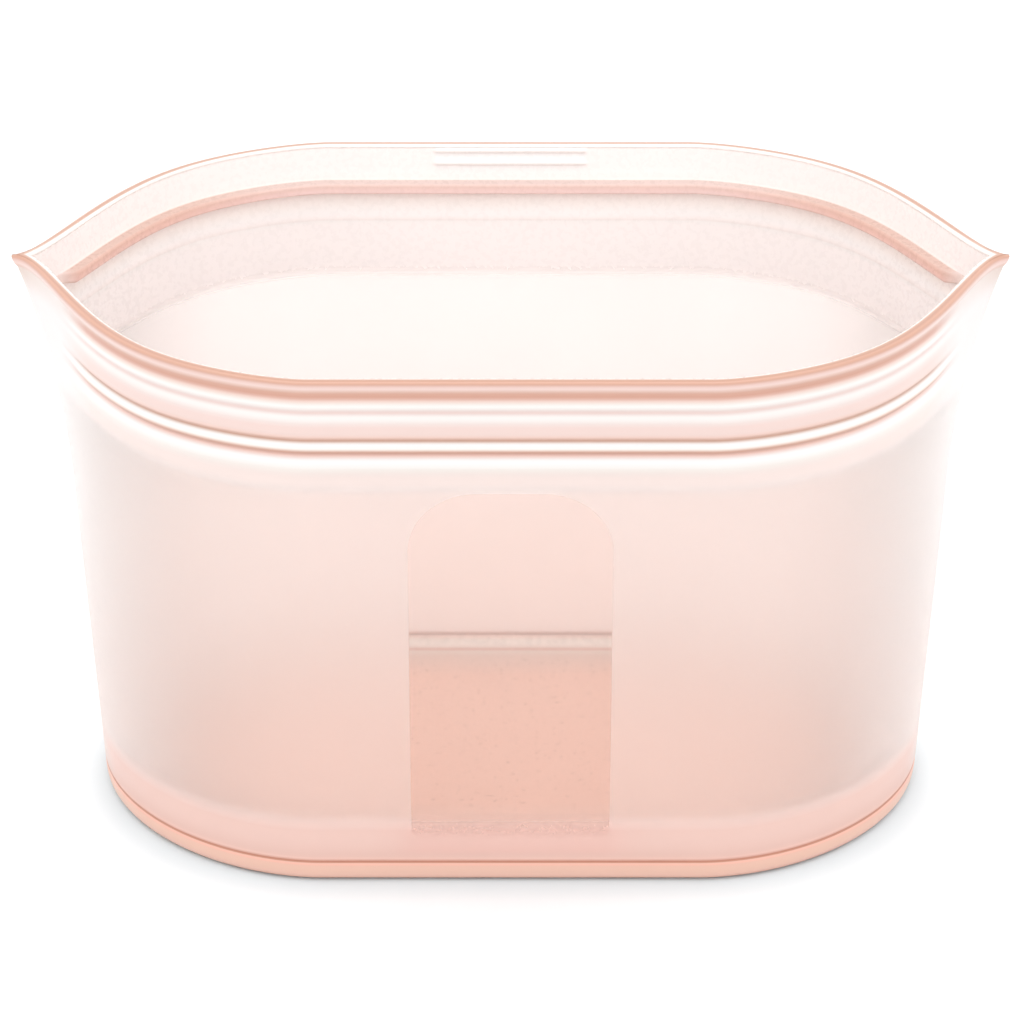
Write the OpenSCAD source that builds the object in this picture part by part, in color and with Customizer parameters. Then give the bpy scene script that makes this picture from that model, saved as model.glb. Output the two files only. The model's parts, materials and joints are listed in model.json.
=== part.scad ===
// Reusable stand-up silicone food bag: one translucent moulding with a flat
// stadium base, drafted walls that flare into two pointed fused ears, and a
// press-to-close zip just inside an open mouth.
// Millimetres. Base centre at the origin, +X to the right ear, +Y to the back,
// +Z up. The mouth is shown open, as the bag is moulded.

/* [Body] */
// Half length of the base, centre to end [60:0.1:90]
base_half_length = 75.3;
// Half depth of the base, centre to front [30:0.1:55]
base_half_depth = 41.3;
// Half length of the straight side at the base [20:0.05:50]
base_straight = 33.75;
// Half length of the straight side at the rim [20:0.05:50]
rim_straight = 33.75;
// Overall height of the open bag [80:0.1:130]
height = 103.4;
// Outward draft of the walls, mm per mm of height [0:0.005:0.12]
draft = 0.055;
// Height where the walls start to flare [40:1:80]
flare_start = 60;
// Flare at the ends, per mm squared [0:0.0001:0.006]
end_flare = 0.00347;
// Flare at the front and back, per mm squared [0:0.0001:0.006]
side_flare = 0.0029;
// Height where the round ends start to draw out to points [20:1:80]
point_start = 45;

/* [Walls] */
// Wall thickness of the body [1:0.1:3]
wall = 1.6;
// Thickness of the floor [2:0.1:6]
floor_thick = 3.2;
// Height of the thick foot band round the base [2:0.1:8]
heel_height = 3.6;
// Wall thickness of the foot band [2:0.1:6]
heel_wall = 3.0;
// Blunt half thickness of each ear's edge [0.2:0.05:1.5]
ear_edge = 0.45;
// Half gap between the inner faces where an ear fuses shut [0.3:0.05:2]
fuse_gap = 0.8;

/* [Rim and zip] */
// Height where the flexing walls end and the rim starts [80:0.1:98]
rim_z = 90.7;
// Height where the zip band ends and the lip starts [92:0.1:102]
lip_z = 98.8;
// Bottom of the press rib on the back [90:0.1:98]
rib_z = 95.1;
// Width of the press rib [1:0.1:4]
rib_width = 2.0;
// Reach of the press rib and of the upper groove edge [1:0.1:4]
rib_reach = 2.1;
// Reach of the lower groove edge [0.5:0.1:3]
low_reach = 1.3;
// Clearance each side of the press rib in its groove [0.2:0.05:1]
groove_clear = 0.45;
// Length of each zip end left short of the ear's point [6:0.5:25]
zip_short = 12;
// Half length of the grip ridges on the back lip [8:0.5:30]
grip_half = 14.2;

/* [Window] */
// Half width of the clear window panel [10:0.1:30]
window_half = 17.6;
// Height of the window's rounded top [50:0.5:84]
window_top = 80;
// Height of the window's foot [4:0.1:20]
window_foot = 5;
// Radius of the window's top corners [4:0.5:17]
window_radius = 12;
// How far the polished panel stands out [0.1:0.05:1]
window_out = 0.35;

/* [Hidden] */
seam = 0.3;               // clearance between flexing wall and moving rim
move_k = 0.99;            // rim bodies stop just short of the corners
base_power = 1.85;        // roundness of the base corner
body_c = [0.96, 0.79, 0.72];
clear_c = [0.95, 0.72, 0.63];
zip_c = [0.88, 0.60, 0.49];
lip_c = [0.98, 0.86, 0.81];

// ---- shape of the bag at any height -------------------------------------
function clamp01(v) = min(1, max(0, v));
function over(z) = max(0, z - flare_start);
function half_x(z) = base_half_length + draft * z + end_flare * pow(over(z), 2);
function half_y(z) = base_half_depth + draft * z + side_flare * pow(over(z), 2);
function straight(z) =
  base_straight + (rim_straight - base_straight) * z / height;
function pointed(z) =
  pow(clamp01((z - point_start) / (height - point_start)), 1.5);
// depth fraction of the corner curve: round at the base, drawn to a point
function depth_at(u, w) =
  (1 - w) * pow(max(0, 1 - pow(u, base_power)), 1 / base_power)
  + w * pow(max(0, 1 - 0.31 * pow(u, 1.6) - 0.69 * pow(u, 5.4)), 1.98);
// corner curve, c from 0 (end of the straight) to 1 (end of the bag)
function corner(z, c) =
  let (u = pow(sin(90 * c), 2 / base_power))
  [straight(z) + (half_x(z) - straight(z)) * u,
   half_y(z) * depth_at(u, pointed(z))];
function unit(v) = v / norm(v);
function corner_normal(z, c) =
  c <= 0.001 ? [0, 1] :
  c >= 0.999 ? [1, 0] :
  let (t = corner(z, c + 0.0009) - corner(z, c - 0.0009)) unit([-t[1], t[0]]);
function corner_off(z, c, o) = corner(z, c) + o * corner_normal(z, c);
// where the two inner faces of the ear come together
function fuse_c(z, lo = 0.4, hi = 0.995, n = 18) =
  n == 0 ? lo :
  let (m = (lo + hi) / 2)
  corner_off(z, m, -wall)[1] > fuse_gap ? fuse_c(z, m, hi, n - 1)
                                        : fuse_c(z, lo, m, n - 1);
// a point of the shell. side -1 front, +1 back; k from -2 (left ear) over
// -1..1 (straight) to 2 (right ear); o is the offset outwards
function shell(side, k, z, o) =
  abs(k) <= 1 ? [k * straight(z), side * (half_y(z) + o), z] :
  let (c = (abs(k) - 1) * (z >= rim_z ? fuse_c(z) : 1),
       p = corner_off(z, c, o))
  [sign(k) * p[0], side * p[1], z];
function body_point(side, k, z, o) =
  abs(k) <= 1 ? [k * straight(z), side * (half_y(z) + o), z] :
  let (p = corner_off(z, abs(k) - 1, o)) [sign(k) * p[0], side * p[1], z];

// ---- solids from a grid of outer and inner points ------------------------
function flat(a) = [for (r = a) for (p = r) p];
module grid_solid(outer, inner) {
  nz = len(outer);
  nc = len(outer[0]);
  m = nz * nc;
  function o(i, j) = i * nc + j;
  function n(i, j) = m + i * nc + j;
  function two(a, b, c, d) = [[a, b, c], [a, c, d]];
  faces = concat(
    flat([for (i = [0:nz - 2]) for (j = [0:nc - 2])
      two(o(i, j), o(i + 1, j), o(i + 1, j + 1), o(i, j + 1))]),
    flat([for (i = [0:nz - 2]) for (j = [0:nc - 2])
      two(n(i, j), n(i, j + 1), n(i + 1, j + 1), n(i + 1, j))]),
    flat([for (j = [0:nc - 2])
      two(o(0, j), o(0, j + 1), n(0, j + 1), n(0, j))]),
    flat([for (j = [0:nc - 2])
      two(o(nz - 1, j + 1), o(nz - 1, j), n(nz - 1, j), n(nz - 1, j + 1))]),
    flat([for (i = [0:nz - 2])
      two(o(i + 1, 0), o(i, 0), n(i, 0), n(i + 1, 0))]),
    flat([for (i = [0:nz - 2])
      two(o(i + 1, nc - 1), n(i + 1, nc - 1), n(i, nc - 1), o(i, nc - 1))]));
  polyhedron(points = concat(flat(outer), flat(inner)), faces = faces,
             convexity = 8);
}
// rim-zone sheet: ks run left to right on the front, right to left on the back
module sheet(side, ks, zs, oo, oi)
  grid_solid(
    [for (i = [0:len(zs) - 1]) [for (k = ks) shell(side, k, zs[i], oo[i])]],
    [for (i = [0:len(zs) - 1]) [for (k = ks) shell(side, k, zs[i], oi[i])]]);
// wall-zone sheet: cols are [side, k] pairs, counter-clockwise from above
module wall_sheet(cols, zs, oo, oi)
  grid_solid(
    [for (i = [0:len(zs) - 1])
      [for (q = cols) body_point(q[0], q[1], zs[i], oo[i])]],
    [for (i = [0:len(zs) - 1])
      [for (q = cols) body_point(q[0], q[1], zs[i], oi[i])]]);
function same(v, n) = [for (i = [1:n]) v];
function run(a, b, n) = [for (i = [0:n]) a + (b - a) * i / n];
function turn(side, a) = side < 0 ? a : [for (i = [len(a) - 1:-1:0]) a[i]];
// columns of one corner, always left to right
function mirrored(x, ks) =
  x > 0 ? ks : [for (i = [len(ks) - 1:-1:0]) -ks[i]];

// ---- base -----------------------------------------------------------------
function ring_cols() = concat(
  [for (k = run(-1, 1, 1)) [-1, k]],
  [for (k = run(1, 2, 12)) if (k > 1) [-1, k]],
  [for (i = [11:-1:0]) [1, 1 + i / 12]],
  [[1, -1]],
  [for (k = run(1, 2, 12)) if (k > 1) [1, -k]],
  [for (i = [11:-1:1]) [-1, -1 - i / 12]]);
function ring(z, o) =
  [for (q = ring_cols()) let (p = body_point(q[0], q[1], z, o)) [p[0], p[1]]];
module ring_slab(z0, z1, o0, o1) {
  a = ring(z0, o0);
  b = ring(z1, o1);
  n = len(a);
  polyhedron(
    points = concat([for (p = a) [p[0], p[1], z0]],
                    [for (p = b) [p[0], p[1], z1]]),
    faces = concat(
      [[for (i = [0:n - 1]) i]], [[for (i = [n - 1:-1:0]) n + i]],
      flat([for (i = [0:n - 1]) let (j = (i + 1) % n)
        [[i, n + i, n + j], [i, n + j, j]]])),
    convexity = 4);
}
module floor_panel() color(clear_c)
  linear_extrude(floor_thick) polygon(ring(0, -heel_wall - 0.8));
module heel_ring() color(clear_c) difference() {
  union() {
    ring_slab(0, 0.5, -0.9, -0.3);
    ring_slab(0.5, 1.6, -0.3, 0);
    ring_slab(1.6, heel_height, 0, 0);
  }
  translate([0, 0, -1]) linear_extrude(floor_thick + 1)
    polygon(ring(0, -heel_wall - 0.8));
  translate([0, 0, floor_thick - 0.001]) linear_extrude(heel_height)
    polygon(ring(floor_thick, -heel_wall - 0.4));
}

// ---- body walls -----------------------------------------------------------
bead_at = [85.6, 88.9];
function bead_zs(z) = [z - 1.2, z - 0.6, z, z + 0.6, z + 1.2];
wall_zs = concat([heel_height], run(12, 60, 6), run(65, 80, 3),
  bead_zs(bead_at[0]), bead_zs(bead_at[1]), [rim_z]);
split_k = 1.42;
module plain_wall(cols)
  wall_sheet(cols, wall_zs, same(0, len(wall_zs)),
    [for (z = wall_zs) z < 8 ? -heel_wall + 0.6 : -wall]);
module front_wall() color(body_c)
  plain_wall([for (k = concat([for (v = run(split_k, 1, 5)) -v],
    run(1, split_k, 5))) [-1, k]]);
module back_wall() color(body_c)
  plain_wall([for (k = concat(run(split_k, 1, 5),
    [for (v = run(1, split_k, 5)) -v])) [1, k]]);
module end_wall(x) color(body_c)
  plain_wall(concat(
    [for (k = run(split_k, 2, 9)) [x > 0 ? -1 : 1, x * k]],
    [for (i = [8:-1:0]) [x > 0 ? 1 : -1,
      x * (split_k + (2 - split_k) * i / 9)]]));
module left_end_wall() end_wall(-1);
module right_end_wall() end_wall(1);
bead_half = concat(run(1, split_k, 5),
  [for (i = [1:6]) split_k + (2 - split_k) * i / 9]);
bead_ks = concat([for (i = [len(bead_half) - 1:-1:0]) -bead_half[i]],
  bead_half);
module wall_beads(side) color(lip_c)
  for (z = bead_at)
    wall_sheet([for (k = turn(side, bead_ks)) [side, k]], bead_zs(z),
      [0.05, 0.5, 0.7, 0.5, 0.05], same(0, 5));
module front_wall_beads() wall_beads(-1);
module back_wall_beads() wall_beads(1);

// ---- polished window on the front ----------------------------------------
module window_panel() color(clear_c) intersection() {
  rotate([90, 0, 0]) translate([0, 0, 30]) linear_extrude(30) hull() {
    for (x = [-1, 1])
      translate([x * (window_half - window_radius), window_top - window_radius])
        circle(r = window_radius, $fn = 48);
    translate([-window_half, window_foot])
      square([2 * window_half, 10]);
  }
  translate([-30, 0, 0]) rotate([90, 0, 90]) linear_extrude(60)
    polygon(concat(
      [for (z = wall_zs) if (z < 86) [-half_y(z) - window_out, z]],
      [for (i = [len(wall_zs) - 2:-1:0]) [-half_y(wall_zs[i]), wall_zs[i]]]));
}

// ---- zip band --------------------------------------------------------------
low_z = rib_z - groove_clear - 1.2;
high_z = rib_z + rib_width + groove_clear;
function edge_zs(z0, z1) = [z0, (z0 + z1) / 2, z1];
band_zs = concat([rim_z, 92.2], edge_zs(low_z, low_z + 1.2),
  edge_zs(rib_z, rib_z + rib_width), edge_zs(high_z, high_z + 1.1), [lip_z]);
function band_out(z) = z < 96 || z > 98.7 ? 0 : 0.75 * sin(180 * (z - 96) / 2.7);
band_oo = [for (z = band_zs) band_out(z)];
zip_end = 2 - (zip_short - 4) / (half_x(rib_z) - straight(rib_z));
zip_ks = run(1, zip_end, 8);
corner_ks = concat(zip_ks, [for (i = [1:3]) zip_end + (2 - zip_end) * i / 3]);
module band_part(side, ks, z0 = rim_z)
  sheet(side, turn(side, ks), [for (z = band_zs) max(z, z0)], band_oo,
        same(-wall, len(band_zs)));
module rim_band(side) color(body_c)
  band_part(side, [-move_k, move_k], rim_z + seam);
module corner_band(side, x) color(body_c)
  band_part(side, mirrored(x, corner_ks));
module front_left_band() corner_band(-1, -1);
module front_right_band() corner_band(-1, 1);
module back_left_band() corner_band(1, -1);
module back_right_band() corner_band(1, 1);
module front_band() rim_band(-1);
module back_band() rim_band(1);

// ---- press zip: a rib on the back, a two-edged groove on the front ---------
module edge(side, ks, z0, z1, reach)
  sheet(side, turn(side, ks), edge_zs(z0, z1), same(-wall, 3),
        [-wall - reach + 0.15, -wall - reach, -wall - reach + 0.15]);
module groove_edges(ks) color(zip_c) {
  edge(-1, ks, low_z, low_z + 1.2, low_reach);
  edge(-1, ks, high_z, high_z + 1.1, rib_reach);
}
module press_rib(ks) color(zip_c)
  edge(1, ks, rib_z, rib_z + rib_width, rib_reach);
module front_zip_groove() groove_edges([-move_k, move_k]);
module back_zip_rib() press_rib([-move_k, move_k]);
module front_left_zip() groove_edges(mirrored(-1, zip_ks));
module front_right_zip() groove_edges(mirrored(1, zip_ks));
module back_left_zip() press_rib(mirrored(-1, zip_ks));
module back_right_zip() press_rib(mirrored(1, zip_ks));

// ---- lip with its rolled edge ---------------------------------------------
grip_at = [100.1, 102.3];
function grip_zs(z) = [z - 0.45, z, z + 0.45];
lip_zs = concat([lip_z], grip_zs(grip_at[0]), grip_zs(grip_at[1]),
  [102.9, 103.2, height]);
lip_oo = [0, -0.3, -0.3, -0.25, 0, 0.15, 0.25, 0.2, 0.05, -0.2];
lip_oi = [-1.6, -1.5, -1.5, -1.5, -1.5, -1.5, -1.5, -1.4, -1.15, -0.8];
module lip_part(side, ks)
  sheet(side, turn(side, ks), lip_zs, lip_oo, lip_oi);
module corner_lip(side, x) color(lip_c) lip_part(side, mirrored(x, corner_ks));
module front_left_lip() corner_lip(-1, -1);
module front_right_lip() corner_lip(-1, 1);
module back_left_lip() corner_lip(1, -1);
module back_right_lip() corner_lip(1, 1);
module front_lip() color(lip_c) lip_part(-1, [-move_k, move_k]);
module back_lip() color(lip_c) lip_part(1, [-move_k, move_k]);
module back_grip_ridges() color(lip_c)
  for (z = grip_at)
    sheet(1, turn(1, [-grip_half / straight(z), grip_half / straight(z)]),
      grip_zs(z), same(-1.5, 3), [-1.9, -2.2, -1.9]);

// ---- fused ears -------------------------------------------------------------
ear_zs = concat(band_zs, [for (i = [1:len(lip_zs) - 1]) lip_zs[i]]);
function ear_outer(z, c) =
  let (p = corner(z, c)) [p[0], max(ear_edge, p[1])];
function ear_row(z, x, side) =
  let (f = fuse_c(z), q = corner_off(z, f, -wall))
  concat([[x * q[0], side * q[1], z]],
    [for (c = run(f, 1, 5)) let (p = ear_outer(z, c))
      [x * p[0], side * p[1], z]]);
module ear(x) color(lip_c)
  grid_solid([for (z = ear_zs) ear_row(z, x, -x)],
             [for (z = ear_zs) ear_row(z, x, x)]);
module left_ear() ear(-1);
module right_ear() ear(1);

floor_panel();
heel_ring();
front_wall();
back_wall();
left_end_wall();
right_end_wall();
window_panel();
front_wall_beads();
back_wall_beads();
front_left_band();
front_right_band();
back_left_band();
back_right_band();
front_left_zip();
front_right_zip();
back_left_zip();
back_right_zip();
front_left_lip();
front_right_lip();
back_left_lip();
back_right_lip();
left_ear();
right_ear();
front_band();
front_zip_groove();
front_lip();
back_band();
back_zip_rib();
back_lip();
back_grip_ridges();
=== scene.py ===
"""Reusable stand-up silicone bag: the visual model, over the CAD frame.

One continuous skin in three pieces: the foot with its floor, and the front and
back halves of the wall.
Heights and offsets are in millimetres and colours are sRGB, 0 to 255, unless a
comment says otherwise. Meshes are made in metres.
"""
import json
import math

import bpy
import numpy as np
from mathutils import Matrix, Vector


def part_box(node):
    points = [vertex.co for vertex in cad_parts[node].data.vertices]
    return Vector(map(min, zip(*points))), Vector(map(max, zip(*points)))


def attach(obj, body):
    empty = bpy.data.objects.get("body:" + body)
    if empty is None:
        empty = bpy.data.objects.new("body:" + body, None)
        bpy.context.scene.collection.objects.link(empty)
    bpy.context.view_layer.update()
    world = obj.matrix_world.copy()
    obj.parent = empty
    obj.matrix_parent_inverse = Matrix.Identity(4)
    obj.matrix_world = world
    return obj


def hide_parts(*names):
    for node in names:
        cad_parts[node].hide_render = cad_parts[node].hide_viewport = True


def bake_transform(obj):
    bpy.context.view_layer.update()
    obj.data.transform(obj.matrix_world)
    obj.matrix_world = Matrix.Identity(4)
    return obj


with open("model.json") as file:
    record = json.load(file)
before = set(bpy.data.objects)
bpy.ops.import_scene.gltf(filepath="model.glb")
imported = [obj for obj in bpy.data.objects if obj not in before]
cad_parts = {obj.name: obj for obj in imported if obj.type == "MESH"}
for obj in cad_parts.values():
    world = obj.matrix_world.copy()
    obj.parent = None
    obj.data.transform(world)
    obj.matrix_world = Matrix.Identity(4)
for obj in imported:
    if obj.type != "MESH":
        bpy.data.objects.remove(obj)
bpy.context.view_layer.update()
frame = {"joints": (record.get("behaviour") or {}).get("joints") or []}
MM = 0.001


def cad(node):
    """A CAD node's lowest and highest corner, in millimetres."""
    lo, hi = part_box(node)
    return np.array(lo) / MM, np.array(hi) / MM


# ---- sizes, from the CAD nodes -----------------------------------------------
RIM_TOP = cad("front_lip")[1][2]               # height of the lip
HEEL = cad("heel_ring")[1][2]                  # top of the foot band
FLOOR = cad("floor_panel")[1][2]               # floor thickness
WALL = 1.6                                     # wall thickness
SIDE = 33.75                                   # half length of the straights
DRAFT = 0.055                                  # how far the walls lean out per millimetre of height
FLARE_FROM = 60.0                              # the walls flare above this height
POINT_FROM = 45.0                              # the ends draw out to a point above this height
ROUND = 1.85                                   # squareness of the base's corners: 2 is a circle
BASE_X, BASE_Y = cad("heel_ring")[1][:2] - DRAFT * HEEL    # the walls' half sizes, carried down to the ground
TIP_X = cad("right_ear")[1][0]
END_FLARE = (TIP_X - BASE_X - DRAFT * RIM_TOP) / (RIM_TOP - FLARE_FROM) ** 2
WALL_TOP = cad("back_wall")[1]                 # where the walls meet the rim band
SIDE_FLARE = (WALL_TOP[1] - BASE_Y - DRAFT * WALL_TOP[2]) / (WALL_TOP[2] - FLARE_FROM) ** 2
RIB = cad("back_zip_rib")
GROOVE = cad("front_zip_groove")
ZIP_END = cad("back_right_zip")[1][0]          # where the zip is cut off
GRIP = cad("back_grip_ridges")
WINDOW = cad("window_panel")
WINDOW_ROUND = 12.0                            # radius of the window's top corners
BEADS = cad("front_wall_beads")
BEND_FROM, BEND_TO = 6.0, 91.0                 # heights over which each shell's share of the closing is worked out
AXIS = {j["child"]: j["axis"] for j in frame["joints"]}
TRAVEL = {j["child"]: j["range_m"][1] for j in frame["joints"]}


# ---- shape of the bag at any height ------------------------------------------
def smooth(a, b, v):
    """0 below a, 1 above b and an S curve between."""
    t = np.clip((v - a) / (b - a), 0, 1)
    return t * t * (3 - 2 * t)


def half_x(z):
    return BASE_X + DRAFT * z + END_FLARE * max(0, z - FLARE_FROM) ** 2


def half_y(z):
    return BASE_Y + DRAFT * z + SIDE_FLARE * max(0, z - FLARE_FROM) ** 2


def pointed(z):
    """How far the outline has gone from round ends, 0, to pointed ones, 1."""
    return min(1, max(0, (z - POINT_FROM) / (RIM_TOP - POINT_FROM))) ** 1.5


def depth_at(u, w):
    """Depth fraction of the corner: round at the base, drawn to a point above."""
    return ((1 - w) * np.maximum(0, 1 - u ** ROUND) ** (1 / ROUND)
            + w * np.maximum(0, 1 - 0.31 * u ** 1.6 - 0.69 * u ** 5.4) ** 1.98)


STEPS = 1200
DENSE = np.linspace(0, 1, STEPS + 1)


def curve(z, wall):
    """Dense outer corner curve, its normals, and the inner curve as far as the halves' fused line."""
    u = np.sin(np.pi / 2 * DENSE) ** (2 / ROUND)
    outer = np.stack([SIDE + (half_x(z) - SIDE) * u, half_y(z) * depth_at(u, pointed(z))], 1)
    along = np.gradient(outer, axis=0)
    normal = np.stack([-along[:, 1], along[:, 0]], 1)
    normal /= np.maximum(1e-9, np.linalg.norm(normal, axis=1))[:, None]
    normal[0], normal[-1] = (0, 1), (1, 0)
    inner = outer - wall * normal
    past = np.nonzero(inner[:, 1] <= 0)[0]
    end = past[0] if len(past) else STEPS
    if 0 < end < STEPS:
        a, b = inner[end - 1], inner[end]
        f = a[1] / max(1e-9, a[1] - b[1])
        inner = np.vstack([inner[:end], a + (b - a) * f])
        place = np.append(DENSE[:end], DENSE[end - 1] + f / STEPS)
    else:
        inner[-1, 1] = 0
        place = DENSE
    return outer, normal, inner, place / place[-1], place[-1]


def columns():
    """Columns of one half, left ear to right ear: -2 to -1 corner, -1 to 1 straight, 1 to 2 corner."""
    u = (ZIP_END - SIDE) / (half_x(RIB[0][2]) - SIDE)
    at = math.asin(u ** (ROUND / 2)) / (math.pi / 2)
    zip_cut = at + np.array([-0.004, -0.002, 0, 0.002, 0.004, 0.008])
    even, near_ear = np.linspace(0, 0.9, 46), np.linspace(0.9, 1, 17)[1:]
    corner = np.unique(np.round(np.concatenate([even, near_ear, zip_cut]), 5))
    grip = GRIP[1][0] / SIDE
    grip_cut = [s * (grip + d) for s in (-1, 1) for d in (-0.03, -0.015, 0, 0.012)]
    straight = np.unique(np.round(np.concatenate([np.linspace(-1, 1, 17), grip_cut]), 5))
    return np.concatenate([-1 - corner[::-1], straight[1:-1], 1 + corner])


COLUMNS = columns()
FLAT = np.abs(COLUMNS) <= 1                          # columns on the straight
TURN = np.clip(np.abs(COLUMNS) - 1, 0, 1)      # how far round the corner, 1 at the ear
FLIP = np.column_stack([np.where(COLUMNS < 0, -1, 1), np.ones(len(COLUMNS))])
ENDWARD = smooth(0.30, 0.95, TURN)                # 1 towards the ends of the bag
LEVELS = {}


def level(z, wall=WALL):
    """All columns at a height, for y > 0: outer points, outward normals, inner points, their normals."""
    key = (round(z, 4), round(wall, 4))
    if key not in LEVELS:
        o, n, i, place, last = curve(z, wall)
        outer = np.stack([np.interp(TURN, DENSE, o[:, k]) for k in (0, 1)], 1)
        out_dir = np.stack([np.interp(TURN, DENSE, n[:, k]) for k in (0, 1)], 1)
        inner = np.stack([np.interp(TURN, place, i[:, k]) for k in (0, 1)], 1)
        in_dir = np.stack([np.interp(TURN * last, DENSE, n[:, k]) for k in (0, 1)], 1)
        for points, inset in ((outer, 0), (inner, wall)):
            points[FLAT, 0] = np.abs(COLUMNS[FLAT]) * SIDE
            points[FLAT, 1] = half_y(z) - inset
        out_dir[FLAT], in_dir[FLAT] = (0, 1), (0, 1)
        LEVELS[key] = (outer * FLIP, out_dir * FLIP, inner * FLIP, in_dir * FLIP)
    return LEVELS[key]


# ---- profile and colours -----------------------------------------------------
BODY_Z = [HEEL, HEEL + 0.3, HEEL + 0.6, HEEL + 1.0, HEEL + 1.4, 5.6, 6.4, 7.4, 8.4, 9.5, 10.6, 12, 13.2, 14.6,
          17, 20, 26, 33, 41, 49, 56, 62, 67, 71, 74.5, 77, 79]
# height, and how far the outer skin stands proud: a swell, a bead, the zip's back, a ridge and the lip
OUT = [(79.5, 0), (82.6, 0), (83.6, 0.10), (84.6, 0.38), (85.4, 0.54), (86.4, 0.54), (87.1, 0.42),
       (87.6, 0.18), (87.9, 0.09), (88.2, 0.20), (88.5, 0.48), (88.8, 0.70), (89.2, 0.80),
       (89.8, 0.72), (90.4, 0.48),
       (90.8, 0.22), (91.05, 0.14), (91.3, 0.24), (91.6, 0.48), (92.0, 0.62), (92.8, 0.70), (94.2, 0.70),
       (94.9, 0.62), (95.6, 0.38), (96.2, 0.16), (96.7, 0.08), (97.2, 0.16), (97.8, 0.36), (98.4, 0.44),
       (99.0, 0.38), (99.6, 0.22), (100.1, 0.09), (100.6, 0.04), (101.1, 0.10), (101.6, 0.26), (102.1, 0.38),
       (102.6, 0.40), (103.0, 0.30), (103.2, 0.16), (RIM_TOP - 0.06, -0.08)]
# height and colour of the rim's outer face, with light and shade painted in: painted white highlights on the
# crowns, painted deep peach shade on the undersides
OUT_LIGHT_AND_SHADE = [(79.0, 249, 229, 222), (83.2, 249, 229, 222), (84.0, 249, 232, 225), (84.8, 249, 238, 231),
            (85.6, 253, 247, 243), (86.3, 254, 252, 251), (87.0, 254, 250, 248), (87.5, 251, 226, 218),
            (87.9, 243, 200, 187), (88.3, 208, 155, 137), (88.6, 216, 168, 150), (88.9, 244, 216, 202),
            (89.2, 254, 249, 244), (90.2, 253, 253, 253), (90.5, 253, 238, 230), (90.85, 207, 162, 142),
            (91.2, 218, 172, 154), (91.6, 246, 209, 196), (92.2, 247, 219, 211), (93.6, 248, 220, 212),
            (94.4, 247, 228, 222), (94.9, 249, 237, 232), (95.3, 253, 245, 241), (95.9, 254, 248, 244),
            (96.4, 248, 233, 228), (96.8, 243, 214, 206), (97.2, 242, 220, 214), (97.6, 251, 240, 235),
            (98.1, 255, 252, 248), (98.5, 251, 243, 237), (98.9, 248, 229, 220), (99.3, 246, 215, 204),
            (99.7, 230, 184, 168), (100.2, 221, 166, 147), (100.9, 224, 173, 153), (101.4, 240, 202, 188),
            (101.8, 249, 219, 211), (102.3, 243, 207, 197), (102.7, 226, 178, 160), (103.0, 226, 174, 151),
            (103.2, 232, 181, 158), (103.5, 234, 185, 163)]
LIP_TOP = [(0.30, (215, 162, 139)), (0.62, (226, 184, 163))]   # share of the way across the lip, colour
# height and colour just above the foot band: a painted dark line of shade in the fine groove and a painted
# highlight just above it
HEEL_ROWS = [(3.6, 222, 160, 138), (3.9, 202, 136, 112), (4.2, 234, 178, 160), (4.6, 250, 206, 193),
             (5.0, 241, 199, 186), (5.6, 239, 199, 187), (8, 240, 203, 192), (14, 240, 203, 192)]
# height, extra thickness and colour where the inside thickens into the foot
FOOT_IN = [(5.2, 0.12, (255, 238, 230)), (HEEL + 0.9, 0.40, (255, 252, 247)),
           (HEEL + 0.35, 0.75, (255, 252, 247)), (HEEL, 1.1, (255, 246, 240))]
# colours of the press rib, with its light and shade painted in: darker painted shade on the top edge and
# face, paler below; they deepen towards its ends
RIB_LIT, RIB_FACE, RIB_UNDER = (232, 208, 198), (236, 204, 192), (248, 224, 216)
RIB_MIDDLE, RIB_LOWER, RIB_FOOT = (242, 210, 200), (249, 219, 212), (246, 220, 211)
DEEPENING = {RIB_LIT, RIB_FACE, RIB_UNDER, RIB_MIDDLE, RIB_LOWER, RIB_FOOT}
GAIN = 1.15                                    # how bright the studio shows a plain matt colour
INSIDE = 1.09                                  # how much paler the shaded inside is painted
PEACH = np.array([0.978, 0.890, 0.858])        # what one wall lets through, linear
PALE = np.array([0.955, 0.880, 0.862])         # the same at the fused ears
EAR_EDGE = np.array([0.86, 0.71, 0.645])       # and where the ears thin out under the lip
SOAKED = np.array([0.97, 0.695, 0.59])         # the thick floor, linear
# finishes: clearness, roughness, grain
SATIN = (0.78, 0.50, 0.20)
POLISHED = (0.90, 0.16, 0.0)
RIM_LOOK = (0.10, 0.32, 0.0)
EAR_LOOK = (0.25, 0.34, 0.0)
SOLID = (0.08, 0.34, 0.0)
INNER_RIM = (0.0, 0.28, 0.0)
FOOT_LOOK = (0.04, 0.28, 0.0)


def paint(*rgb):
    """The linear base colour that shows as this sRGB colour in the studio."""
    c = np.array(rgb, float) / 255
    return np.where(c < 0.04045, c / 12.92, ((c + 0.055) / 1.055) ** 2.4) / GAIN


def tone_at(rows, z):
    """A table's base colour at a height."""
    heights = [r[0] for r in rows]
    return np.array([np.interp(z, heights, [paint(*r[1:])[k] for r in rows]) for k in range(3)])


def mixed(a, b, f):
    """a where f is 1, b where f is 0, column by column."""
    f = np.reshape(f, (-1, 1))
    return np.asarray(a) * f + np.asarray(b) * (1 - f)


def groove_share(z):
    """1 in the fine groove over the foot band, fading within a fraction of a millimetre."""
    return math.exp(-((z - HEEL - 0.3) / 0.28) ** 2)


GROOVE_DEEP = 0.20


# ---- how far round the mouth a feature runs ----------------------------------
def bead_run(x):
    return 1 - smooth(BEADS[1][0] - 10, BEADS[1][0] - 2, np.abs(x))


def zip_run(x):
    return 1 - smooth(ZIP_END - 0.35, ZIP_END + 0.35, np.abs(x))


def grip_run(x):
    return 1 - smooth(GRIP[1][0] - 0.4, GRIP[1][0] + 0.2, np.abs(x))


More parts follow.
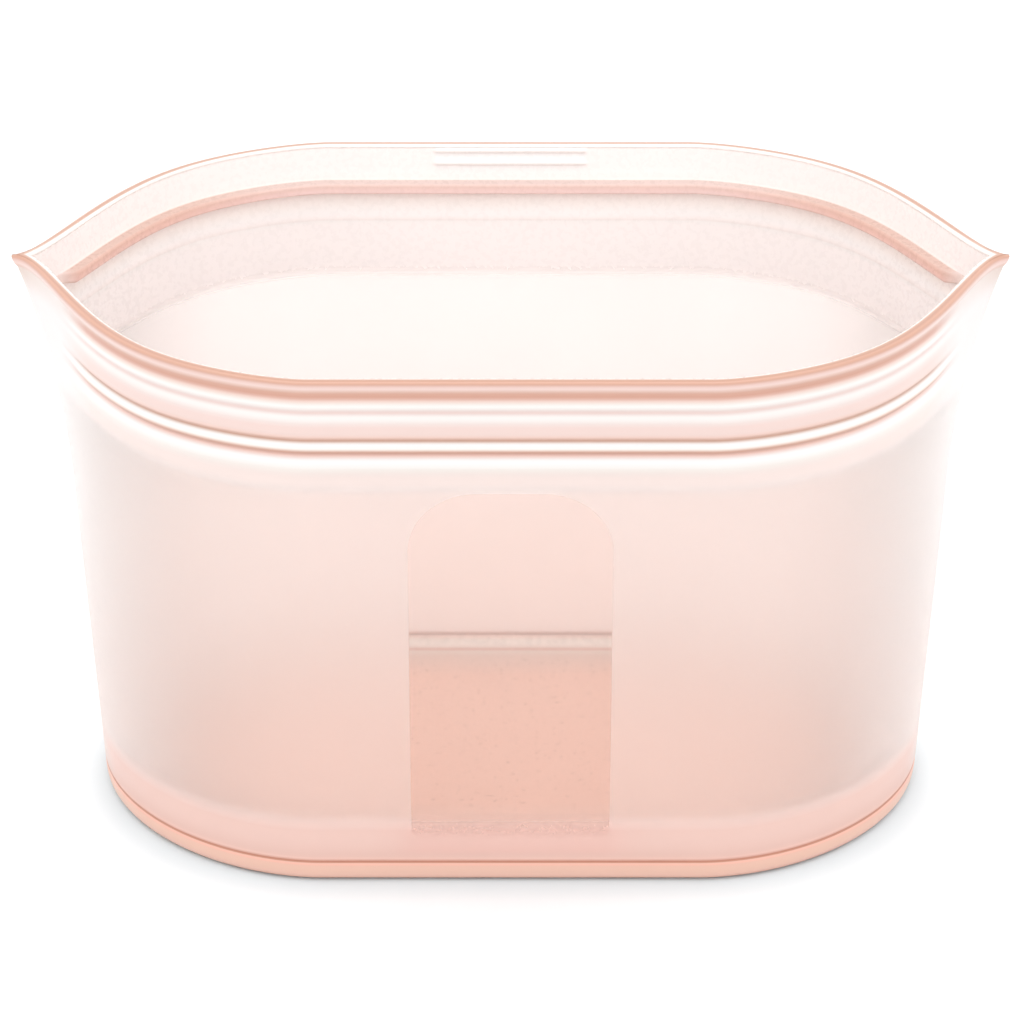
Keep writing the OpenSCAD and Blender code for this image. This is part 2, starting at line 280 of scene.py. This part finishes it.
def window_run(x):
    return 1 - smooth(WINDOW[1][0] - 2, WINDOW[1][0] + 6, np.abs(x))


RUNS = {"zip": zip_run, "grip": grip_run, "": np.ones_like}


# ---- the profile of the inside -----------------------------------------------
def rib(z0, z1, reach, deep):
    """A square-edged press profile from the top down: height, how far in, colour, with the rib's light and
    shade painted into the colours.
    """
    shallow = (250, 238, 230), (243, 218, 208), (246, 224, 215)
    lit, face, under = (RIB_LIT, RIB_FACE, RIB_UNDER) if deep else shallow
    return [(z1 + 0.45, 0, (254, 244, 240)), (z1 + 0.10, 0.05, (251, 238, 232)), (z1, 0.35, lit),
            (z1 - 0.04, reach - 0.4, lit), (z1 - 0.22, reach - 0.06, face), (z1 - 0.6, reach, face),
            ((z0 + z1) / 2, reach, RIB_MIDDLE), (z0 + 0.5, reach, RIB_LOWER),
            (z0 + 0.2, reach - 0.06, under), (z0 + 0.04, reach - 0.4, RIB_FOOT), (z0, 0.35, (244, 216, 207)),
            (z0 - 0.12, 0.05, (252, 232, 224)), (z0 - 0.4, 0, (254, 244, 240))]


def grip_ridge(zc):
    """A low ridge for the fingers, from the top down, with painted shade just under its crest."""
    return [(zc + 0.60, 0, (254, 251, 250)), (zc + 0.34, 0.16, (254, 252, 251)),
            (zc + 0.14, 0.34, (245, 238, 235)), (zc - 0.08, 0.38, (238, 229, 225)),
            (zc - 0.32, 0.22, (247, 240, 238)), (zc - 0.55, 0, (254, 252, 251))]


def inner_rows(side):
    """Height, how far in, colour (None: plain wall) and the feature whose run it shares. The colours paint in
    the light and shade of the rim's inside.
    """
    white = (254, 246, 243)
    rows = [(RIM_TOP - 0.06, 0, white, ""), (103.2, 0.06, (254, 243, 238), ""),
            (102.95, 0.08, (255, 250, 246), "")]
    if side > 0:
        for zc in (GRIP[1][2] - 0.45, GRIP[0][2] + 0.45):
            rows += [row + ("grip",) for row in grip_ridge(zc)]
        rows += [(98.6, 0, white, "")]
        rows += [row + ("zip",) for row in rib(RIB[0][2], RIB[1][2], 2.1, True)]
    else:
        rows += [(101, 0, white, ""), (99.6, 0, white, "")]
        rows += [row + ("zip",) for row in rib(GROOVE[1][2] - 1.1, GROOVE[1][2], 2.1, True)]
        rows += [(96.0, 0, (244, 222, 213), "zip")]
        rows += [row + ("zip",) for row in rib(GROOVE[0][2], GROOVE[0][2] + 1.2, 1.3, False)]
    rows += [(92.8, 0, (254, 247, 243), "zip"), (92.0, 0, (254, 249, 246), "zip"),
             (91.2, 0, (254, 250, 248), ""), (90.6, 0, (254, 248, 246), ""),
             (90.1, 0.05, (250, 242, 239), "zip"), (89.8, 0.07, (246, 238, 235), "zip"),
             (89.5, 0, (252, 247, 245), "")]
    rows += [(z, 0, (253, 246, 244), "") for z in (88.6, 87.2, 85.6, 84.2, 82.6, 81.2)]
    rows += [(z, 0, None, "") for z in reversed(BODY_Z[5:])]
    return rows


# ---- one half of the wall, row by row ----------------------------------------
class Skin:
    """The rows of one half, in the order they are joined, each with its colour and finish."""

    def __init__(self):
        self.points, self.tint, self.look = [], [], []

    def add(self, xy, z, base, finish):
        self.points.append(np.column_stack([xy, np.full(len(xy), z)]))
        self.tint.append(np.broadcast_to(base, (len(xy), 3)).copy())
        self.look.append(np.broadcast_to(finish, (len(xy), 3)).copy())


def wall_base(z, layers=1.0):
    """What the wall lets through: deeper low down, paler at the ends."""
    low = 1 - smooth(15, 60, z)
    ends = (0.12 + 0.40 * smooth(30, 82, z)) * ENDWARD ** 2
    return PEACH[None, :] ** (layers * (1 + 0.38 * low - ends))[:, None]


def wall_look():
    """Satin, and milkier towards the ends."""
    finish = np.tile(np.array(SATIN), (len(COLUMNS), 1))
    finish[:, 0] -= 0.44 * ENDWARD
    return finish


def add_wall(skin, side):
    for z in BODY_Z:
        outer, out_dir, _, _ = level(z)
        # low down the colour comes from the heel table, with its painted groove shade and painted highlight
        base = tone_at(HEEL_ROWS, z)
        milky = np.full(len(COLUMNS), 1 - smooth(4.6, 5.8, z))
        if side < 0:                           # seen against the thick foot: milky a little higher up
            milky = np.maximum(milky, (1 - smooth(10.4, 14.5, z)) * (1 - smooth(0.72, 0.97, TURN)))
            under_window = smooth(4.8, 6.4, z) * window_run(outer[:, 0])
            base = base * (1 - np.array([0.0, 0.065, 0.07]) * under_window[:, None])
        skin.add(outer - out_dir * GROOVE_DEEP * groove_share(z), z,
                 mixed(base, wall_base(z), milky), mixed(SOLID, wall_look(), milky))


def add_rim(skin):
    proud = np.array(OUT)
    for z in np.concatenate([np.arange(79.6, 83, 0.55), np.arange(83.1, 103.1, 0.22), proud[-3:, 0]]):
        outer, out_dir, _, _ = level(z)
        out = np.interp(z, proud[:, 0], proud[:, 1])
        run = bead_run(outer[:, 0])
        run = run + (1 - run) * smooth(100.9, 101.6, z)
        thin = np.maximum(smooth(95.5, 101.0, z) * smooth(0.45, 0.9, TURN), smooth(0.90, 1.0, TURN))
        # the rim's outer face takes its painted highlights and painted shade from the height table
        base = mixed(tone_at(OUT_LIGHT_AND_SHADE, z - 0.57 * out), mixed(EAR_EDGE, PALE, thin), run)
        start = smooth(79.4, 82.2, z)
        skin.add(outer + out_dir * (out * run)[:, None], z, mixed(base, wall_base(z), start),
                 mixed(mixed(RIM_LOOK, EAR_LOOK, run), wall_look(), start))


def add_lip(skin):
    outer, _, inner, _ = level(RIM_TOP)
    for share, tone in LIP_TOP:
        skin.add(outer + (inner - outer) * share, RIM_TOP, paint(*tone), RIM_LOOK)


def add_inside(skin, side):
    ends = smooth(0.05, 0.5, TURN)[:, None]
    for z, reach, tone, feature in inner_rows(side):
        outer, _, inner, in_dir = level(z)
        run = RUNS[feature](inner[:, 0])
        if z > RIM_TOP - 0.1:                        # the lip's inner edge
            xy = outer + (inner - outer) * 0.80
        else:
            xy = inner - in_dir * (reach * run)[:, None]
            xy[[0, -1], 1] = 0
        if tone is None:
            skin.add(xy, z, wall_base(z, 1.3), POLISHED)
            continue
        # painted light and shade of the inside, painted paler overall to offset the shade inside
        base = mixed(paint(*tone), paint(253, 244, 241), run) * INSIDE
        if tone in DEEPENING:
            base = base * (np.array([0.95, 0.93, 0.95]) - np.array([0.04, 0.13, 0.19]) * ends)
        skin.add(xy, z, base, INNER_RIM)
    for z, thicker, tone in FOOT_IN:
        skin.add(level(z, WALL + thicker)[2], z, paint(*tone) * INSIDE, FOOT_LOOK)


def shell_rows(side):
    """One half, from the foot up the outside, over the lip and down the inside."""
    skin = Skin()
    add_wall(skin, side)
    add_rim(skin)
    add_lip(skin)
    add_inside(skin, side)
    points = np.array(skin.points)
    points[:, :, 1] *= side
    points[:, [0, -1], 1] = 0                  # both halves meet at the ears
    return points, np.array(skin.tint), np.array(skin.look)


# ---- materials ---------------------------------------------------------------
def node(nt, kind, **values):
    """A shader node; a name that starts with _ is an input's value, any other a property."""
    n = nt.nodes.new(kind)
    for key, v in values.items():
        if key.startswith("_"):
            n.inputs[key[1:].replace("_", " ")].default_value = v
        else:
            setattr(n, key, v)
    return n


def math_node(nt, op, a, b=None, clamp=False):
    n = node(nt, "ShaderNodeMath", operation=op, use_clamp=clamp)
    for k, v in enumerate((a, b)):
        if v is None:
            continue
        if isinstance(v, (int, float)):
            n.inputs[k].default_value = v
        else:
            nt.links.new(v, n.inputs[k])
    return n.outputs[0]


def length_node(nt, a, b):
    """The length of the vector (a, b)."""
    return math_node(nt, "SQRT", math_node(nt, "ADD", math_node(nt, "MULTIPLY", a, a),
                                           math_node(nt, "MULTIPLY", b, b)))


def window_mask(nt, x, z):
    """1 on the polished window, 0 outside: a panel with a rounded top that fades out at its foot."""
    half, top, r = WINDOW[1][0] * MM, WINDOW[1][2] * MM, WINDOW_ROUND * MM
    edge, fade_from, fade = 6000.0, 0.0088, 130.0          # steepness per metre, metres, per metre
    past_x = math_node(nt, "MAXIMUM", math_node(nt, "SUBTRACT", math_node(nt, "ABSOLUTE", x), half - r), 0.0)
    past_z = math_node(nt, "MAXIMUM", math_node(nt, "SUBTRACT", z, top - r), 0.0)
    away = length_node(nt, past_x, past_z)
    inside = math_node(nt, "MULTIPLY", math_node(nt, "SUBTRACT", r, away), edge, True)
    above = math_node(nt, "MULTIPLY", math_node(nt, "SUBTRACT", z, fade_from), fade, True)
    return math_node(nt, "MULTIPLY", inside, above)


def mottled(nt, place, scale, detail, rough, low, high):
    """Noise, and the same noise spread from low to high."""
    noise = node(nt, "ShaderNodeTexNoise", _Scale=scale, _Detail=detail, _Roughness=rough)
    nt.links.new(place, noise.inputs["Vector"])
    spread = node(nt, "ShaderNodeMapRange", _From_Min=0.3, _From_Max=0.7, _To_Min=low, _To_Max=high)
    nt.links.new(noise.outputs["Fac"], spread.inputs["Value"])
    return noise.outputs["Fac"], spread.outputs[0]


def silicone(name, window=False):
    """Translucent silicone: colour from the tint attribute; clearness, roughness and grain from look."""
    m = bpy.data.materials.new(name)
    m.use_nodes = True
    nt = m.node_tree
    nt.nodes.clear()
    out = node(nt, "ShaderNodeOutputMaterial")
    bsdf = node(nt, "ShaderNodeBsdfPrincipled", _IOR=1.41)
    nt.links.new(bsdf.outputs[0], out.inputs["Surface"])
    place = node(nt, "ShaderNodeTexCoord").outputs["Object"]
    tint = node(nt, "ShaderNodeAttribute", attribute_name="tint")
    look = node(nt, "ShaderNodeAttribute", attribute_name="look")
    parts = node(nt, "ShaderNodeSeparateXYZ")
    nt.links.new(look.outputs["Vector"], parts.inputs[0])
    clear, rough, grain = parts.outputs

    _, cloud = mottled(nt, place, 38.0, 3.0, 0.5, 0.985, 1.0)
    colour = node(nt, "ShaderNodeVectorMath", operation="SCALE")
    nt.links.new(tint.outputs["Color"], colour.inputs[0])
    nt.links.new(cloud, colour.inputs["Scale"])
    nt.links.new(colour.outputs[0], bsdf.inputs["Base Color"])

    speck, vary = mottled(nt, place, 900.0, 4.0, 0.6, -0.04, 0.04)
    rough = math_node(nt, "ADD", rough, vary)
    bump = node(nt, "ShaderNodeBump", _Distance=0.0001)
    nt.links.new(speck, bump.inputs["Height"])
    nt.links.new(bump.outputs[0], bsdf.inputs["Normal"])

    if window:
        split = node(nt, "ShaderNodeSeparateXYZ")
        nt.links.new(place, split.inputs[0])
        mask = window_mask(nt, split.outputs[0], split.outputs[2])
        less = math_node(nt, "SUBTRACT", 1.0, mask)
        duller = math_node(nt, "ADD", math_node(nt, "MULTIPLY", less, 0.88), 0.12)
        rough = math_node(nt, "MULTIPLY", rough, duller)
        grain = math_node(nt, "MULTIPLY", grain, less)
        gap = math_node(nt, "SUBTRACT", 0.95, clear)
        clear = math_node(nt, "ADD", clear, math_node(nt, "MULTIPLY", mask, gap))
    nt.links.new(clear, bsdf.inputs["Transmission Weight"])
    nt.links.new(rough, bsdf.inputs["Roughness"])
    nt.links.new(grain, bump.inputs["Strength"])
    return m


# ---- the three pieces --------------------------------------------------------
def new_object(name, mesh):
    ob = bpy.data.objects.new(name, mesh)
    bpy.context.scene.collection.objects.link(ob)
    return ob


def new_piece(name, verts, faces, material, tint, look):
    """A smooth mesh in metres that carries its colours and finishes as attributes."""
    me = bpy.data.meshes.new(name)
    me.from_pydata([tuple(v) for v in np.asarray(verts) * MM], [], faces)
    me.materials.append(material)
    me.polygons.foreach_set("use_smooth", np.ones(len(faces), bool))
    colour = me.attributes.new("tint", "FLOAT_COLOR", "POINT")
    rgba = np.column_stack([np.clip(tint, 0.02, 0.99), np.ones(len(verts))])
    colour.data.foreach_set("color", rgba.astype(np.float32).ravel())
    finish = me.attributes.new("look", "FLOAT_VECTOR", "POINT")
    finish.data.foreach_set("vector", np.asarray(look, np.float32).ravel())
    me.update()
    return new_object(name, me)


def closing_share():
    """How far each column follows its rim body: all the way on the straight, none at the fused ears."""
    run = abs(AXIS["front_rim"][1]) * TRAVEL["front_rim"] / MM
    share = []
    gaps = (BEND_TO, 0.33), (RIB[0][2], 1.22), (RIM_TOP - 0.4, 0.4)    # height, gap kept to the middle
    for z, keep in gaps:
        _, _, inner, in_dir = level(z)
        need = keep * (np.maximum(np.abs(in_dir[:, 1]), 0.3) if keep > 1 else 1)
        share.append((inner[:, 1] - need) / run)
    return np.clip(np.min(share, 0), 0, 1)


def build_shell(name, side, material):
    """One half of the wall; its share of the rim body's closing is worked out but not applied."""
    points, tint, look = shell_rows(side)
    rows, cols = points.shape[:2]
    faces = []
    for r in range(rows - 1):
        for j in range(cols - 1):
            a, b, c, d = r * cols + j, r * cols + j + 1, (r + 1) * cols + j + 1, (r + 1) * cols + j
            faces.append((a, b, c, d) if side < 0 else (a, d, c, b))
    ob = new_piece(name, points.reshape(-1, 3), faces, material, tint.reshape(-1, 3), look.reshape(-1, 3))
    t = np.clip((points[:, :, 2] - BEND_FROM) / (BEND_TO - BEND_FROM), 0, 1)
    lean = 0.5 * t + 0.5 * smooth(0, 1, t)
    share = (lean * closing_share()[None, :]).ravel().astype(np.float32)
    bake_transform(ob)
    return ob


def ring(z, inset):
    """A closed loop round the bag, counter-clockwise from above, inside the outer skin."""
    p = (level(z, inset)[2] if inset > 0 else level(z)[0]).copy()
    p[[0, -1], 1] = 0
    front = np.column_stack([p[:, 0], -p[:, 1], np.full(len(p), z)])
    back = np.column_stack([p[:, 0], p[:, 1], np.full(len(p), z)])[::-1][1:-1]
    return np.vstack([front, back])


class Sheet:
    """Loops joined into a cup that a flat cap closes."""

    def __init__(self):
        self.verts, self.tint, self.look, self.faces = [], [], [], []

    def add(self, rows, z_end, colour_end, clear_end, up):
        """Loops from (height, inset, colour) rows, then smaller flat ones that fade to the end colour."""
        first = len(self.verts)
        loops = [(ring(z, inset), colour, SOLID) for z, inset, colour in rows]
        last, last_colour = loops[-1][0], loops[-1][1]
        for share in (0.96, 0.88, 0.78, 0.6, 0.4, 0.2):
            p = last * (share, share, 1)
            p[:, 2] = z_end
            f = min(1, (1 - share) / 0.22)
            finish = (clear_end * f + 0.15 * (1 - f), 0.30, 0.0)
            loops.append((p, last_colour * (1 - f) + colour_end * f, finish))
        n = len(last)
        for p, colour, finish in loops:
            self.verts.extend(p)
            self.tint.extend([colour] * n)
            self.look.extend([finish] * n)
        for r in range(len(loops) - 1):
            for j in range(n):
                a, b = first + r * n + j, first + r * n + (j + 1) % n
                self.faces.append((a, b, b + n, a + n) if up else (a, a + n, b + n, b))
        cap = [first + (len(loops) - 1) * n + j for j in range(n)]
        self.faces.append(tuple(cap) if up else tuple(reversed(cap)))


def build_base():
    """Foot band and floor: an outer sheet closed below and an inner sheet closed by the floor."""
    near = groove_share(HEEL)
    # the foot's colours paint its light and shade: a painted dark line of shade in the fine groove, a painted
    # highlight at the top of the band, and painted shade where it rounds under to the ground
    heel, brighter = paint(237, 193, 174), 1.12
    top = paint(216, 152, 127) * near + paint(250, 205, 191) * (1 - near)
    down = [(HEEL, GROOVE_DEEP * near, top), (HEEL - 0.3, 0.03, paint(246, 189, 170)),
            (3.0, 0.0, paint(237, 190, 172)), (2.4, 0.0, heel), (1.6, 0.03, heel),
            (1.0, 0.12, paint(240, 194, 178)), (0.5, 0.30, paint(234, 185, 166)),
            (0.2, 0.50, paint(228, 176, 156)), (0.0, 0.9, paint(222, 168, 148))]
    line = paint(244, 204, 190)
    inside = [(HEEL, WALL + 1.1, paint(255, 244, 238)), (3.42, WALL + 1.45, paint(255, 246, 240)),
              (3.3, WALL + 1.8, line), (3.24, WALL + 2.1, line), (FLOOR, WALL + 2.5, paint(255, 244, 236)),
              (FLOOR, WALL + 4.5, paint(254, 232, 221))]
    sheet = Sheet()
    down = [(z, inset, colour * brighter) for z, inset, colour in down]
    sheet.add(down, 0.0, paint(232, 182, 164), 0.35, False)
    sheet.add(inside, FLOOR, SOAKED, 0.10, True)
    return new_piece("foot_and_floor", sheet.verts, sheet.faces, PLAIN, sheet.tint, sheet.look)


WINDOWED = silicone("silicone_with_window", True)
PLAIN = silicone("silicone_plain")

front = build_shell("front_shell", -1, WINDOWED)
back = build_shell("back_shell", 1, PLAIN)
base = build_base()
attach(base, "root")
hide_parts("front_wall", "window_panel", "front_wall_beads", "front_left_band", "front_right_band",
            "front_left_zip", "front_right_zip", "front_left_lip", "front_right_lip", "front_band",
            "front_zip_groove", "front_lip", "left_end_wall", "right_end_wall", "left_ear", "right_ear")
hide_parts("back_wall", "back_wall_beads", "back_left_band", "back_right_band", "back_left_zip",
            "back_right_zip", "back_left_lip", "back_right_lip", "back_band", "back_zip_rib", "back_lip",
            "back_grip_ridges", "left_end_wall", "right_end_wall", "left_ear", "right_ear")
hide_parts("floor_panel", "heel_ring")


# ---- floor, light and camera, in metres --------------------------------------
def studio_white():
    """Matt white with a soft, slightly blue contact shade round the foot."""
    m = bpy.data.materials.new("studio_white")
    m.use_nodes = True
    nt = m.node_tree
    bsdf = nt.nodes["Principled BSDF"]
    bsdf.inputs["Roughness"].default_value = 1.0
    bsdf.inputs["Specular IOR Level"].default_value = 0.0
    split = node(nt, "ShaderNodeSeparateXYZ")
    nt.links.new(node(nt, "ShaderNodeTexCoord").outputs["Object"], split.inputs[0])
    beyond = math_node(nt, "SUBTRACT", math_node(nt, "ABSOLUTE", split.outputs[0]), SIDE * MM)
    away = length_node(nt, math_node(nt, "MAXIMUM", beyond, 0.0), split.outputs[1])
    shade = node(nt, "ShaderNodeMapRange", interpolation_type="SMOOTHSTEP", _From_Min=BASE_Y * MM - 0.001,
                 _From_Max=BASE_Y * MM + 0.009, _To_Min=0.0, _To_Max=1.0)
    nt.links.new(away, shade.inputs["Value"])
    tone = node(nt, "ShaderNodeMix", data_type="RGBA")
    ends = {s.name: s for s in tone.inputs if s.type == "RGBA"}
    ends["A"].default_value = (0.755, 0.855, 0.895, 1)
    ends["B"].default_value = (0.93, 0.965, 0.98, 1)
    nt.links.new(shade.outputs["Result"], tone.inputs[0])
    nt.links.new([s for s in tone.outputs if s.type == "RGBA"][0], bsdf.inputs["Base Color"])
    return m


def studio_floor(half=8, z=-0.0004):
    me = bpy.data.meshes.new("studio_floor")
    corners = [(-half, -half, z), (half, -half, z), (half, half, z), (-half, half, z)]
    me.from_pydata(corners, [], [(0, 1, 2, 3)])
    me.materials.append(studio_white())
    new_object("studio_floor", me)


def studio_world(strength):
    world = bpy.data.worlds.new("studio")
    bpy.context.scene.world = world
    world.use_nodes = True
    world.node_tree.nodes["Background"].inputs["Color"].default_value = (1, 1, 1, 1)
    world.node_tree.nodes["Background"].inputs["Strength"].default_value = strength


def soft_light(name, place, aim, size, power):
    """A rectangular light that shows only in reflections and through the clear wall."""
    data = bpy.data.lights.new(name, "AREA")
    data.shape = "RECTANGLE"
    data.size, data.size_y = size
    data.energy = power
    ob = new_object(name, data)
    ob.location = place
    d = np.array(aim) - np.array(place)
    ob.rotation_euler = (math.atan2(math.hypot(d[0], d[1]), -d[2]), 0, math.atan2(d[0], -d[1]) + math.pi)
    ob.visible_diffuse = False
    ob.visible_camera = False


def studio_camera(place, tilt_down):
    data = bpy.data.cameras.new("camera")
    data.lens, data.sensor_width = 144.4, 36.0
    data.shift_x = 0.0015
    data.clip_start, data.clip_end = 0.01, 50
    ob = new_object("camera", data)
    ob.location = place
    ob.rotation_euler = (math.radians(90 - tilt_down), 0, 0)
    bpy.context.scene.camera = ob


studio_floor()
studio_world(1.39)
soft_light("top_softbox", (0, -0.25, 1.1), (0, 0, 0.05), (1.6, 0.5), 10)
studio_camera((0, -0.6623, 0.3927), 27.19)
bpy.context.scene.view_settings.view_transform = "Standard"
